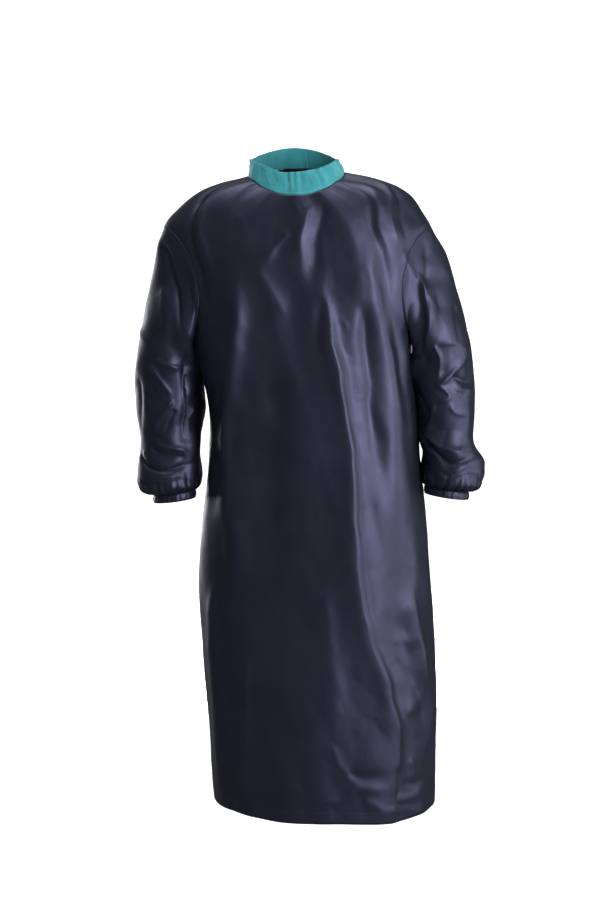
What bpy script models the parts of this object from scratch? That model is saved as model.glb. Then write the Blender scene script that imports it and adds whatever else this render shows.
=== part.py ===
"""Surgical gown in coated navy cloth, as worn, with a teal stand collar and elastic cuffs.

Metres, +Z up. The wearer faces -Y, so their left side is at +X. The origin is where the gown rests on
the shoulders, in the middle of the neck, and the hem hangs 1.3 m below it. Each piece that is cut and
sewn is one closed wall of cloth, with seams left open by a hair's breadth.
"""
from collections import namedtuple

import bmesh
import bpy
import numpy as np

# Cloth
WALL = 0.0020  # coated cloth, with the turned edge of its seams
COLLAR_WALL = 0.0024  # doubled cotton with interlining
TAPE_WALL = 0.0012
SEAM = 0.0003  # gap left between two pieces along a seam

# The body's rings, hem first: heights at the side seams, centre front and centre back; middle of the
# width, half of it at the side seams and as the panels' middles follow it; depth in front of and
# behind the side seams; and how full the ring's corners are.
Level = namedtuple("Level", "side front back middle half inner ahead behind full")
LEVELS = [
    Level(-1.293, -1.300, -1.288, 0.0520, 0.2330, 0.2330, 0.184, 0.162, 0.05),
    Level(-1.131, -1.131, -1.131, 0.0465, 0.2380, 0.2380, 0.176, 0.154, 0.06),
    Level(-0.960, -0.960, -0.960, 0.0375, 0.2430, 0.2430, 0.168, 0.146, 0.08),
    Level(-0.832, -0.832, -0.832, 0.0310, 0.2420, 0.2420, 0.161, 0.139, 0.10),
    Level(-0.705, -0.705, -0.705, 0.0300, 0.2330, 0.2330, 0.154, 0.132, 0.13),
    Level(-0.580, -0.580, -0.580, 0.0290, 0.2200, 0.2200, 0.147, 0.126, 0.17),
    Level(-0.454, -0.454, -0.454, 0.0220, 0.2120, 0.2120, 0.141, 0.124, 0.22),
    Level(-0.390, -0.392, -0.390, 0.0120, 0.2085, 0.2120, 0.138, 0.127, 0.26),
    Level(-0.320, -0.328, -0.318, 0.0010, 0.2180, 0.2200, 0.136, 0.131, 0.30),
    Level(-0.250, -0.268, -0.248, 0.0000, 0.2380, 0.2300, 0.133, 0.132, 0.32),
    Level(-0.180, -0.212, -0.183, -0.0030, 0.2560, 0.2360, 0.127, 0.130, 0.32),
    Level(-0.130, -0.170, -0.135, -0.0045, 0.2660, 0.2360, 0.121, 0.125, 0.30),
    Level(-0.096, -0.142, -0.100, -0.0050, 0.2710, 0.2300, 0.116, 0.118, 0.27),
    Level(-0.061, -0.118, -0.068, -0.0040, 0.2430, 0.2150, 0.111, 0.110, 0.22),
    Level(-0.030, -0.092, -0.038, -0.0040, 0.2050, 0.1900, 0.105, 0.098, 0.18),
    Level(-0.010, -0.064, -0.008, -0.0060, 0.1550, 0.1500, 0.097, 0.081, 0.14),
    Level(0.002, -0.035, 0.022, -0.0080, 0.0970, 0.0970, 0.087, 0.062, 0.10),
]
HEM_DIP = 0.010  # how much lower the hem hangs towards the left side
HEM_DIP_HIGH = 0.40
ARMPIT_LEVEL = 8
SHOULDER_LEVEL = 12

# Armholes: how far the seam runs in front of and behind the side, in degrees round the body
ARMHOLE_FRONT = 31.0
ARMHOLE_BACK = 27.0
ARMHOLE_ROUND = 0.8

# Sleeves, armhole first: outer and inner edge seen from the front (x away from the body), how far the
# section's middle lies in front of the side seams, and half its depth.
Ring = namedtuple("Ring", "out_x out_z in_x in_z ahead depth")
SLEEVE_LEFT = [
    Ring(0.266, -0.096, 0.2190, -0.320, 0.002, 0.088),
    Ring(0.291, -0.145, 0.2215, -0.332, 0.000, 0.088),
    Ring(0.313, -0.203, 0.2240, -0.347, -0.004, 0.086),
    Ring(0.334, -0.266, 0.2265, -0.366, -0.008, 0.083),
    Ring(0.350, -0.335, 0.2310, -0.392, -0.010, 0.079),
    Ring(0.359, -0.410, 0.2370, -0.428, -0.008, 0.075),
    Ring(0.362, -0.475, 0.2440, -0.475, -0.002, 0.070),
    Ring(0.362, -0.545, 0.2500, -0.535, 0.008, 0.062),
    Ring(0.379, -0.588, 0.2520, -0.580, 0.014, 0.066),
    Ring(0.381, -0.616, 0.2510, -0.605, 0.018, 0.065),
    Ring(0.366, -0.637, 0.2530, -0.621, 0.020, 0.056),
    Ring(0.348, -0.641, 0.2570, -0.628, 0.020, 0.044),
]
SLEEVE_RIGHT = [
    Ring(0.276, -0.096, 0.2170, -0.320, 0.002, 0.088),
    Ring(0.289, -0.145, 0.2160, -0.332, 0.000, 0.088),
    Ring(0.304, -0.203, 0.2135, -0.347, -0.004, 0.086),
    Ring(0.319, -0.266, 0.2105, -0.366, -0.008, 0.083),
    Ring(0.334, -0.335, 0.2070, -0.392, -0.010, 0.079),
    Ring(0.339, -0.410, 0.2040, -0.428, -0.008, 0.075),
    Ring(0.338, -0.475, 0.2020, -0.475, -0.002, 0.070),
    Ring(0.330, -0.560, 0.2060, -0.545, 0.008, 0.060),
    Ring(0.336, -0.602, 0.2040, -0.590, 0.014, 0.066),
    Ring(0.336, -0.626, 0.2040, -0.614, 0.018, 0.064),
    Ring(0.320, -0.644, 0.2080, -0.631, 0.020, 0.054),
    Ring(0.302, -0.648, 0.2150, -0.637, 0.020, 0.042),
]
SLEEVE_EASE = 0.16  # length over which the sleeve's head settles into its own rings
SLEEVE_SEAM_EASE = 0.03  # length over which the sleeve's own folds grow from the armhole seam
SLEEVE_GAP = 0.0005  # set away from the body, all along

# Folds: radius that turns degrees into a width of cloth, share of a fold over which it fades out at
# each end, and straight steps that its path is followed in
BODY_RADIUS = 0.20
SLEEVE_RADIUS = 0.075
FOLD_FADE = 0.25
FOLD_STEPS = 16

# Folds of the body: a path of places (degrees round the body, height), how far the fold reaches to
# the left and right of the way it runs, and how far it stands out, or in where negative
Fold = namedtuple("Fold", "path left right high")
BODY_FOLDS = [
    Fold([(-26, -0.17), (-34, -0.35), (-44, -0.50), (-42, -0.72), (-40, -0.98)], 0.030, 0.020, 0.010),
    Fold([(18, -0.17), (24, -0.33), (24, -0.50), (27, -0.75), (34, -0.95), (43, -1.22)], 0.030, 0.030, 0.012),
    Fold([(33, -0.13), (39, -0.21), (48, -0.31), (54, -0.45), (58, -0.60), (57, -0.85)], 0.014, 0.024, 0.013),
    Fold([(40, -0.14), (49, -0.25), (62, -0.37), (69, -0.52), (69, -0.80)], 0.018, 0.018, -0.011),
    Fold([(60, -0.20), (71, -0.30), (72, -0.45)], 0.014, 0.014, 0.006),
    Fold([(80, 0.00), (56, -0.055), (55, -0.10), (60, -0.18)], 0.014, 0.014, 0.006),
    Fold([(-71, -0.05), (-61, -0.10), (-60, -0.20), (-64, -0.29)], 0.012, 0.014, -0.008),
    Fold([(-62, -0.05), (-50, -0.12), (-48, -0.24)], 0.020, 0.020, 0.007),
    Fold([(-8, -0.10), (-18, -0.17), (-8, -0.26)], 0.014, 0.012, 0.005),
    Fold([(13, -0.045), (2, -0.10), (2, -0.18), (6, -0.23)], 0.012, 0.012, 0.006),
    Fold([(-14, -0.28), (-14, -0.60), (-10, -1.00)], 0.040, 0.040, -0.007),
    Fold([(57, -0.88), (66, -1.05), (70, -1.26)], 0.018, 0.018, 0.008),
    Fold([(-58, -0.80), (-63, -1.05), (-64, -1.38)], 0.024, 0.024, 0.007),
    Fold([(90, 0.02), (90, -0.03), (90, -0.09)], 0.050, 0.050, 0.011),
    Fold([(10, -0.85), (6, -1.10), (5, -1.40)], 0.035, 0.035, -0.006),
    Fold([(124, -0.18), (132, -0.45), (128, -0.90), (124, -1.40)], 0.028, 0.022, 0.012),
    Fold([(146, -0.30), (150, -0.70), (149, -1.20)], 0.020, 0.028, 0.008),
    Fold([(108, -0.36), (110, -0.80), (104, -1.25)], 0.022, 0.030, -0.010),
    Fold([(-120, -0.16), (-126, -0.50), (-131, -1.00), (-128, -1.40)], 0.022, 0.030, 0.013),
    Fold([(-104, -0.40), (-110, -0.75), (-112, -1.15)], 0.026, 0.022, -0.009),
    Fold([(165, -0.02), (140, -0.07), (122, -0.16)], 0.016, 0.016, 0.005),
    Fold([(-160, -0.03), (-136, -0.09), (-121, -0.19)], 0.016, 0.016, 0.006),
]

# Folds of the sleeves: places are (degrees round the sleeve, distance along it)
SLEEVE_LEFT_FOLDS = [
    Fold([(158, 0.02), (122, 0.045), (85, 0.060), (50, 0.070)], 0.014, 0.014, -0.009),
    Fold([(132, 0.06), (122, 0.12), (112, 0.18)], 0.020, 0.020, 0.007),
    Fold([(96, 0.198), (135, 0.206), (175, 0.222)], 0.012, 0.012, -0.008),
    Fold([(100, 0.228), (72, 0.242), (30, 0.262)], 0.012, 0.014, 0.007),
    Fold([(20, 0.205), (55, 0.268), (95, 0.285)], 0.012, 0.012, -0.007),
    Fold([(30, 0.330), (61, 0.358), (95, 0.372), (160, 0.362)], 0.012, 0.012, -0.008),
    Fold([(215, 0.05), (238, 0.14), (245, 0.25)], 0.022, 0.022, 0.009),
    Fold([(190, 0.250), (240, 0.275), (310, 0.235)], 0.012, 0.014, -0.009),
    Fold([(195, 0.355), (260, 0.372), (330, 0.345)], 0.012, 0.012, -0.008),
]
SLEEVE_RIGHT_FOLDS = [
    Fold([(152, 0.030), (108, 0.066), (84, 0.090), (60, 0.110)], 0.014, 0.014, -0.009),
    Fold([(135, 0.08), (130, 0.13), (120, 0.18)], 0.020, 0.020, 0.006),
    Fold([(126, 0.172), (89, 0.237), (112, 0.296)], 0.013, 0.013, 0.007),
    Fold([(112, 0.292), (126, 0.316), (80, 0.340), (38, 0.362)], 0.012, 0.012, -0.007),
    Fold([(165, 0.352), (95, 0.378), (20, 0.374)], 0.012, 0.012, -0.007),
    Fold([(20, 0.195), (50, 0.240), (75, 0.262)], 0.012, 0.012, -0.007),
    Fold([(212, 0.06), (232, 0.15), (236, 0.24)], 0.022, 0.022, 0.008),
    Fold([(185, 0.235), (245, 0.268), (315, 0.240)], 0.014, 0.012, -0.009),
    Fold([(200, 0.362), (265, 0.366), (325, 0.350)], 0.012, 0.012, -0.007),
]

# Cuffs: a casing gathered on elastic
CUFF_LONG = 0.016
CUFF_WAVES = 16
CUFF_WAVE_HIGH = 0.0012

# The top ring of the collar, a band that stands on the neck edge and leans in
COLLAR_TOP = Level(0.038, 0.010, 0.064, -0.0115, 0.0890, 0.0890, 0.075, 0.060, 0.06)

# The backs lap: each runs past the centre back, and the left one lies on the right one
LAP = 15.0  # degrees round the body
LAP_BLEND = 50.0  # over which the left back rises to lie on the other
LAP_GAP = 0.0006

# Waist tapes, tied on the right back: height, width and places in degrees round the body
TIE_HEIGHT = -0.500
TIE_WIDE = 0.012
TIE_OFF = 0.0008  # clear of the cloth below
TIE_SEWN = 120.0
KNOT_PLACE = 152.0
KNOT_WIDE = 0.020
KNOT_HIGH = 0.018
KNOT_THICK = 0.008
TIE_ENDS = ((3.0, 0.105), (-3.2, 0.085))  # degrees to a side of the knot, and length hanging free

# Grid sizes
ROWS_SKIRT = 15
ROWS_ARMHOLE = 12
ROWS_SHOULDER = 6
COLUMNS_FRONT = 30
COLUMNS_BACK = 12
COLUMNS_LAP = 2  # on each side of the centre back
ROWS_SLEEVE = 21


def smooth_step(t):
    t = np.clip(t, 0.0, 1.0)
    return t * t * (3.0 - 2.0 * t)


def unit(v):
    return v / np.linalg.norm(v, axis=-1, keepdims=True)


def curve_through(knots, values, at):
    """Cubic curve through rows of values at rising knots, with the slopes of their neighbours."""
    slopes = np.gradient(values, knots, axis=0)
    at = np.asarray(at, float)
    i = np.clip(np.searchsorted(knots, at, side="right") - 1, 0, len(knots) - 2)
    span = (knots[i + 1] - knots[i])[..., None]
    t = (at - knots[i])[..., None] / span
    start = (2 * t**3 - 3 * t**2 + 1) * values[i] + (t**3 - 2 * t**2 + t) * span * slopes[i]
    end = (3 * t**2 - 2 * t**3) * values[i + 1] + (t**3 - t**2) * span * slopes[i + 1]
    return np.moveaxis(start + end, -1, 0)


def lengths(points):
    """Distance along a row of points, from its first one."""
    return np.concatenate([[0.0], np.cumsum(np.linalg.norm(np.diff(points, axis=0), axis=1))])


LEVEL_ROWS = np.array(LEVELS)
SIDE_PATH = LEVEL_ROWS[:, [4, 0]]
FRONT_PATH = LEVEL_ROWS[:, [6, 1]]
UP = (lengths(SIDE_PATH) + lengths(FRONT_PATH)) / 2  # metres of cloth above the hem
UP_ARMPIT = UP[ARMPIT_LEVEL]
UP_SHOULDER = UP[SHOULDER_LEVEL]


def ring_point(level, angle):
    """Point at an angle round a ring: 0 is the centre front, 90 degrees the left side seam."""
    side, front, back, middle, half, inner, ahead, behind, full = level
    s, c = np.sin(angle), np.cos(angle)
    z_middle = np.where(c > 0, front, back)
    depth = np.where(c > 0, ahead, behind)
    x = middle + (inner + (half - inner) * s**8) * s
    y = -depth * c * (1 + full * s * s)
    z = side + (z_middle - side) * c * c
    return np.stack(np.broadcast_arrays(x, y, z), -1)


def bare_body(angle, up):
    """The plain rings, with the hem hanging lower towards the left side."""
    point = ring_point(curve_through(UP, LEVEL_ROWS, up), angle)
    dip = smooth_step(np.sin(angle) / 0.8) * smooth_step(1 - np.asarray(up) / HEM_DIP_HIGH)
    point[..., 2] -= HEM_DIP * dip
    return point


def facing(surface, a, b, step=1e-4):
    """Unit normal of a surface of two parameters, from its slopes along each of them."""
    along_a = surface(a + step, b) - surface(a - step, b)
    along_b = surface(a, b + step) - surface(a, b - step)
    return unit(np.cross(along_a, along_b))


def fold_relief(folds, across, down, round_radius):
    """How far folds move the cloth out at places across (degrees) and down (metres).

    Each fold is a ridge of bell section along a smooth path, flattening towards both of its ends.
    """
    total = np.zeros(np.broadcast(across, down).shape)
    for path, left, right, high in folds:
        path = np.array(path, float)
        middle = path[:, 0].mean()
        path = np.stack([np.radians(path[:, 0] - middle) * round_radius, path[:, 1]], -1)
        path = np.stack(curve_through(lengths(path), path, np.linspace(0, lengths(path)[-1], FOLD_STEPS + 1)), -1)
        turned = (across - middle + 180.0) % 360.0 - 180.0
        place = np.stack(np.broadcast_arrays(np.radians(turned) * round_radius, down), -1)
        nearest = np.full(total.shape, np.inf)
        sideways = np.zeros(total.shape)
        travel = np.zeros(total.shape)
        for k in range(FOLD_STEPS):
            run = path[k + 1] - path[k]
            share = np.clip((place - path[k]) @ run / (run @ run), 0.0, 1.0)
            apart = place - path[k] - share[..., None] * run
            distance = np.linalg.norm(apart, axis=-1)
            closer = distance < nearest
            nearest = np.where(closer, distance, nearest)
            sideways = np.where(closer, run[0] * apart[..., 1] - run[1] * apart[..., 0], sideways)
            travel = np.where(closer, (k + share) / FOLD_STEPS, travel)
        reach = np.where(sideways > 0, left, right)
        fade = smooth_step(travel / FOLD_FADE) * smooth_step((1 - travel) / FOLD_FADE)
        total += high * fade * np.exp(-((nearest / reach) ** 2))
    return total


def body(angle, up):
    """The body's outer cloth: the plain rings, moved out or in by the folds."""
    point = bare_body(angle, up)
    relief = fold_relief(BODY_FOLDS, np.degrees(angle), point[..., 2], BODY_RADIUS)
    return point + relief[..., None] * facing(bare_body, angle, up)


def armhole_place(side, turn):
    """Angle and height on the body of the armhole seam; turn 0 is the armpit, 180 the shoulder."""
    s = np.sin(turn)
    reach = np.where(s > 0, -ARMHOLE_FRONT, ARMHOLE_BACK)
    angle = side * np.radians(90.0 + reach * np.abs(s) ** ARMHOLE_ROUND)
    up = UP_ARMPIT + (UP_SHOULDER - UP_ARMPIT) * (1 - np.cos(turn)) / 2
    return angle, up


def sleeve_ring(rows, side, turn, along):
    """Point on a sleeve's plain ring: turn 0 is its inner side, 90 its front and 180 its outer side."""
    knots = lengths((rows[:, 0:2] + rows[:, 2:4]) / 2)
    out_x, out_z, in_x, in_z, ahead, depth = curve_through(knots, rows, along)
    c = -np.cos(turn)
    x = side * ((out_x + in_x) / 2 + (out_x - in_x) / 2 * c)
    z = (out_z + in_z) / 2 + (out_z - in_z) / 2 * c
    y = -ahead - depth * np.sin(turn)
    return np.stack(np.broadcast_arrays(x, y, z), -1)


def sleeve_surface(rows, side):
    """The sleeve's outer cloth as a function of turn and the distance along it from the armhole."""
    folds = SLEEVE_LEFT_FOLDS if side > 0 else SLEEVE_RIGHT_FOLDS

    def plain(turn, along):
        return sleeve_ring(rows, side, turn, along)

    def surface(turn, along):
        start = body(*armhole_place(side, turn)) - plain(turn, 0.0)
        settle = 1 - smooth_step(np.asarray(along) / SLEEVE_EASE)
        relief = fold_relief(folds, np.degrees(turn), along, SLEEVE_RADIUS)
        relief = relief * smooth_step(np.asarray(along) / SLEEVE_SEAM_EASE)
        way = facing(plain, turn, along) * -side
        point = plain(turn, along) + start * settle[..., None] + relief[..., None] * way
        point[..., 0] += side * SLEEVE_GAP
        return point

    return surface


def sleeve_facing(rows, side, turn, along):
    surface = sleeve_surface(rows, side)
    return facing(surface, turn, along) * -side


def towards_sleeve(rows, side, turn, own):
    """Thickness direction at the armhole: shared with the sleeve where the two run on smoothly."""
    sleeve_way = sleeve_facing(rows, side, turn, np.full_like(turn, 1e-4))
    body_way = facing(body, *armhole_place(side, turn))
    shared = smooth_step((sleeve_way * body_way).sum(-1, keepdims=True))
    return unit(own + shared * (sleeve_way + body_way - own))


def body_rows():
    """Heights of the rows of a body panel, and how far each lies round the armhole in radians."""
    skirt = np.linspace(0.0, UP_ARMPIT, ROWS_SKIRT)
    turn = np.linspace(0.0, np.pi, ROWS_ARMHOLE + 1)[1:-1]
    armhole = UP_ARMPIT + (UP_SHOULDER - UP_ARMPIT) * (1 - np.cos(turn)) / 2
    shoulder = np.linspace(UP_SHOULDER, UP[-1] - SEAM / 2, ROWS_SHOULDER)
    turns = np.concatenate([np.zeros(ROWS_SKIRT), turn, np.zeros(ROWS_SHOULDER)])
    return np.concatenate([skirt, armhole, shoulder]), turns


def panel_edge(turns, reach):
    """Angle from the side seam at which a panel ends, row by row, short of the seam itself."""
    return np.radians(reach * np.sin(turns) ** ARMHOLE_ROUND) + SEAM / 0.3


def front_panel():
    up, turns = body_rows()
    edge = np.pi / 2 - panel_edge(turns, ARMHOLE_FRONT)
    share = np.linspace(-1.0, 1.0, COLUMNS_FRONT + 1)
    angle = edge[:, None] * share[None, :]
    height = np.broadcast_to(up[:, None], angle.shape)
    outer = body(angle, height)
    way = facing(body, angle, height)
    inside = turns > 0
    way[inside, -1] = towards_sleeve(np.array(SLEEVE_LEFT), 1, turns[inside], way[inside, -1])
    way[inside, 0] = towards_sleeve(np.array(SLEEVE_RIGHT), -1, turns[inside], way[inside, 0])
    return outer, outer - WALL * way


def lap_rise(angle, wall):
    """How far a left end stands out to lie on a right end that is one wall thick."""
    start = 180.0 - LAP - LAP_BLEND
    return (wall + LAP_GAP) * smooth_step((np.degrees(angle) - start) / LAP_BLEND)[..., None]


def back_panel(side, rows):
    """A back from its side seam past the centre back; the left one rises to lie on the right one."""
    up, turns = body_rows()
    edge = np.pi / 2 + panel_edge(turns, ARMHOLE_BACK)
    lap = np.radians(LAP)
    share = np.linspace(0.0, 1.0, COLUMNS_BACK + 1)[:-1]
    far = np.linspace(np.pi - lap, np.pi + lap, 2 * COLUMNS_LAP + 1)
    angle = edge[:, None] + (far[0] - edge[:, None]) * share[None, :]
    angle = np.concatenate([angle, np.broadcast_to(far, (len(up), len(far)))], axis=1)
    height = np.broadcast_to(up[:, None], angle.shape)
    outer = body(side * angle, height)
    way = facing(body, side * angle, height)
    if side > 0:
        outer = outer + lap_rise(angle, WALL) * way
    inside = turns > 0
    turn = 2 * np.pi - turns[inside]
    way[inside, 0] = towards_sleeve(rows, side, turn, way[inside, 0])
    return outer, outer - WALL * way


def sleeve_walls(rows, side):
    turn = np.linspace(0.0, 2 * np.pi, 2 * ROWS_ARMHOLE + 1)[:-1]
    long = lengths((rows[:, 0:2] + rows[:, 2:4]) / 2)[-1]
    along = np.linspace(0.0, long, ROWS_SLEEVE)
    turn, along = np.broadcast_arrays(turn[None, :], along[:, None])
    outer = sleeve_surface(rows, side)(turn, along)
    way = sleeve_facing(rows, side, turn, along)
    way[0] = towards_sleeve(rows, side, turn[0], way[0])
    return outer, outer - WALL * way


def cuff_walls(rows, side):
    """The gathered casing below a sleeve: its last ring, carried on down with a wave round it."""
    turn = np.linspace(0.0, 2 * np.pi, 4 * CUFF_WAVES + 1)[:-1]
    last = lengths((rows[:, 0:2] + rows[:, 2:4]) / 2)[-1]
    top = sleeve_surface(rows, side)(turn, np.full_like(turn, last))
    middle = top.mean(axis=0)
    outward = unit((top - middle) * [1, 1, 0])
    wave = CUFF_WAVE_HIGH * np.cos(CUFF_WAVES * turn)[:, None] * outward
    down = np.array([0.0, -0.35, -1.0]) * CUFF_LONG
    fall = np.array([0.0, 0.3, 0.7, 1.0])[:, None, None]
    gather = np.array([0.2, 1.0, 1.0, 0.8])[:, None, None]
    outer = top + fall * down + gather * wave - [0, 0, SEAM]
    return outer, outer - WALL * outward


def collar_walls():
    """The band round the neck from one end past the other, the left end lying on the right one."""
    lap = np.radians(LAP)
    steps = 2 * COLUMNS_LAP
    middle = np.linspace(-np.pi + lap, np.pi - lap, 41)
    left = np.linspace(np.pi - lap, np.pi + lap, steps + 1)[1:]
    angle = np.concatenate([-left[::-1], middle, left])
    edge = body(angle, np.full_like(angle, UP[-1]))
    edge = edge + lap_rise(angle, WALL) * facing(body, angle, np.full_like(angle, UP[-1]))
    edge[:, 2] += SEAM
    outward = unit((edge - edge.mean(axis=0)) * [1, 1, 0])
    brim = ring_point(COLLAR_TOP, angle) + lap_rise(angle, COLLAR_WALL) * outward
    share = np.linspace(0.0, 1.0, 5)[:, None, None]
    outer = edge + (brim - edge) * share
    return outer, outer - COLLAR_WALL * outward


def tape_on(panel, angles, places, heights):
    """A tape lying on a panel: points found on the panel's own faces, moved out.

    Places are degrees round the body and heights are metres, each from one edge of the tape to the
    other. The tape also has a row or column of points wherever the panel has one.
    """
    skirt = panel[:ROWS_SKIRT, COLUMNS_BACK, 2]
    places = np.unique(np.concatenate([places, angles[(angles > min(places)) & (angles < max(places))]]))
    heights = np.unique(np.concatenate([heights, skirt[(skirt > min(heights)) & (skirt < max(heights))]]))
    row = np.interp(heights, skirt, np.arange(ROWS_SKIRT))
    column = np.interp(places, angles, np.arange(len(angles)))
    row, column = np.meshgrid(row, column, indexing="ij")
    r, c = row.astype(int), column.astype(int)
    v, h = (row - r)[..., None], (column - c)[..., None]

    def read(grid):
        low = grid[r, c] * (1 - h) + grid[r, c + 1] * h
        high = grid[r + 1, c] * (1 - h) + grid[r + 1, c + 1] * h
        return low * (1 - v) + high * v

    away = unit(read(unit(np.cross(np.gradient(panel, axis=0), np.gradient(panel, axis=1)))))
    outer = read(panel) + (TIE_OFF + TAPE_WALL) * away
    return outer, outer - TAPE_WALL * away


def add_ties(panel, look):
    """Waist tapes from the left back's edge and from the right back's side, knotted between them."""
    up, turns = body_rows()
    edge = np.degrees(np.pi / 2 + panel_edge(turns, ARMHOLE_BACK)[0])
    angles = np.linspace(edge, 180.0 - LAP, COLUMNS_BACK + 1)
    angles = np.append(angles, np.linspace(180.0 - LAP, 180.0 + LAP, 2 * COLUMNS_LAP + 1)[1:])
    degree = np.radians(BODY_RADIUS)  # width of cloth in one degree
    beside = KNOT_WIDE / 2 / degree + SEAM / degree
    band = [TIE_HEIGHT - TIE_WIDE / 2, TIE_HEIGHT + TIE_WIDE / 2]
    tape = tape_on(panel, angles, [KNOT_PLACE + beside, 180.0 - LAP - 2 * SEAM / degree], band)
    add_wall("tie_left", tape, False, look)
    tape = tape_on(panel, angles, [TIE_SEWN, KNOT_PLACE - beside], band)
    add_wall("tie_right", tape, False, look)
    knot_foot = TIE_HEIGHT - KNOT_HIGH / 2 - SEAM
    for name, (turned, hanging) in zip(("tie_end_left", "tie_end_right"), TIE_ENDS):
        places = [KNOT_PLACE + turned - TIE_WIDE / 2 / degree, KNOT_PLACE + turned + TIE_WIDE / 2 / degree]
        add_wall(name, tape_on(panel, angles, places, [knot_foot - hanging, knot_foot]), False, look)
    outer, inner = tape_on(panel, angles, [KNOT_PLACE - 1.0, KNOT_PLACE + 1.0], band)
    middle = inner.mean(axis=(0, 1))
    across = unit((inner[:, -1] - inner[:, 0]).mean(axis=0))
    away = unit((outer - inner).mean(axis=(0, 1)))
    frame = np.stack([across, away, np.cross(across, away)], -1)
    block = bmesh.new()
    bmesh.ops.create_cube(block, size=1.0)
    for corner in block.verts:
        size = np.array([KNOT_WIDE, KNOT_THICK, KNOT_HIGH])
        corner.co = frame @ (np.array(corner.co) * size) + middle + away * KNOT_THICK / 2
    bmesh.ops.bevel(block, geom=block.edges[:], offset=KNOT_THICK / 3, segments=2, affect="EDGES")
    bmesh.ops.recalc_face_normals(block, faces=block.faces)
    mesh = bpy.data.meshes.new("tie_knot")
    block.to_mesh(mesh)
    block.free()
    mesh.materials.append(look)
    bpy.context.collection.objects.link(bpy.data.objects.new("tie_knot", mesh))


def material(name, colour, roughness):
    made = bpy.data.materials.new(name)
    made.use_nodes = True
    shader = made.node_tree.nodes["Principled BSDF"]
    shader.inputs["Base Color"].default_value = (*colour, 1.0)
    shader.inputs["Roughness"].default_value = roughness
    shader.inputs["Metallic"].default_value = 0.0
    return made


def add_wall(name, walls, closed, look):
    """One closed body from an outer and an inner grid of points, joined along their edges."""
    outer, inner = walls
    rows, columns = outer.shape[:2]
    across = columns if closed else columns - 1
    row, column = np.meshgrid(np.arange(rows - 1), np.arange(across), indexing="ij")
    following = (column + 1) % columns
    corners = [row * columns + column, row * columns + following,
               (row + 1) * columns + following, (row + 1) * columns + column]
    sheet = np.stack(corners, -1).reshape(-1, 4)
    below = rows * columns
    faces = [sheet, sheet[:, ::-1] + below]
    start = np.arange(across)
    ends = [np.stack([start, (start + 1) % columns], -1)]
    ends.append(ends[0][:, ::-1] + (rows - 1) * columns)
    if not closed:
        step = np.arange(rows - 1) * columns
        ends.append(np.stack([step + columns, step], -1))
        ends.append(np.stack([step, step + columns], -1) + columns - 1)
    for end in ends:
        faces.append(np.concatenate([end[:, ::-1], end + below], axis=1))
    points = np.concatenate([outer.reshape(-1, 3), inner.reshape(-1, 3)])
    mesh = bpy.data.meshes.new(name)
    mesh.from_pydata(points.tolist(), [], np.concatenate(faces).tolist())
    shell = bmesh.new()
    shell.from_mesh(mesh)
    bmesh.ops.recalc_face_normals(shell, faces=shell.faces)
    shell.to_mesh(mesh)
    shell.free()
    mesh.shade_smooth()
    mesh.materials.append(look)
    made = bpy.data.objects.new(name, mesh)
    bpy.context.collection.objects.link(made)
    return made


def main():
    for old in list(bpy.data.objects):
        bpy.data.objects.remove(old, do_unlink=True)
    navy = material("navy_cloth", (0.018, 0.019, 0.036), 0.42)
    teal = material("teal_cotton", (0.03, 0.26, 0.27), 0.85)
    left, right = np.array(SLEEVE_LEFT), np.array(SLEEVE_RIGHT)
    add_wall("front", front_panel(), False, navy)
    add_wall("back_left", back_panel(1, left), False, navy)
    right_back = back_panel(-1, right)
    add_wall("back_right", right_back, False, navy)
    add_ties(right_back[0], navy)
    for name, rows, side in (("left", left, 1), ("right", right, -1)):
        add_wall(f"sleeve_{name}", sleeve_walls(rows, side), True, navy)
        add_wall(f"cuff_{name}", cuff_walls(rows, side), True, navy)
    add_wall("collar", collar_walls(), False, teal)


main()
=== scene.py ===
"""Looks of a surgical gown, as worn: satin navy cloth, a teal cotton collar, gathered cuffs and tapes.

Metres, and millimetres in the tables of rings and folds; +Z is up, the front looks along -Y and the
left sleeve is at +X. Every piece of cloth is a surface of two parameters worked out on a grid: rings
round the body or the sleeve, moved out or in by folds.
"""
import math

import bpy
import numpy as np
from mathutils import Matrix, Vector


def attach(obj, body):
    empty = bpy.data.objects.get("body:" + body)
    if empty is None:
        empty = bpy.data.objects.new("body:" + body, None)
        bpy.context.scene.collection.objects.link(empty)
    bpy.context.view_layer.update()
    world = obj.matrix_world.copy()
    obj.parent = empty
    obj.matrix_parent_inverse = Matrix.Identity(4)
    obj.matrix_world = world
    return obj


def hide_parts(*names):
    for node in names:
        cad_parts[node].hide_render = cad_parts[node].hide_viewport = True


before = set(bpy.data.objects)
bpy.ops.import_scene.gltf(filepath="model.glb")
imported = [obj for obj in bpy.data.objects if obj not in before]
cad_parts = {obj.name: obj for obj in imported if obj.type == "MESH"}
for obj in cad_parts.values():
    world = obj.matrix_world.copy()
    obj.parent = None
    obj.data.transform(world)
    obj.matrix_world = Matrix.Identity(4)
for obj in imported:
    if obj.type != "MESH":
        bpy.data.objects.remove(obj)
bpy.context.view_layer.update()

MM = 0.001

# How thick the cloth is
THICK = 0.0010
COLLAR_THICK = 0.0024
TAPE_THICK = 0.0010
WALL = 0.0020  # the wall that the solids have, which the laps are set out for
SEAM = 0.0003

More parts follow.
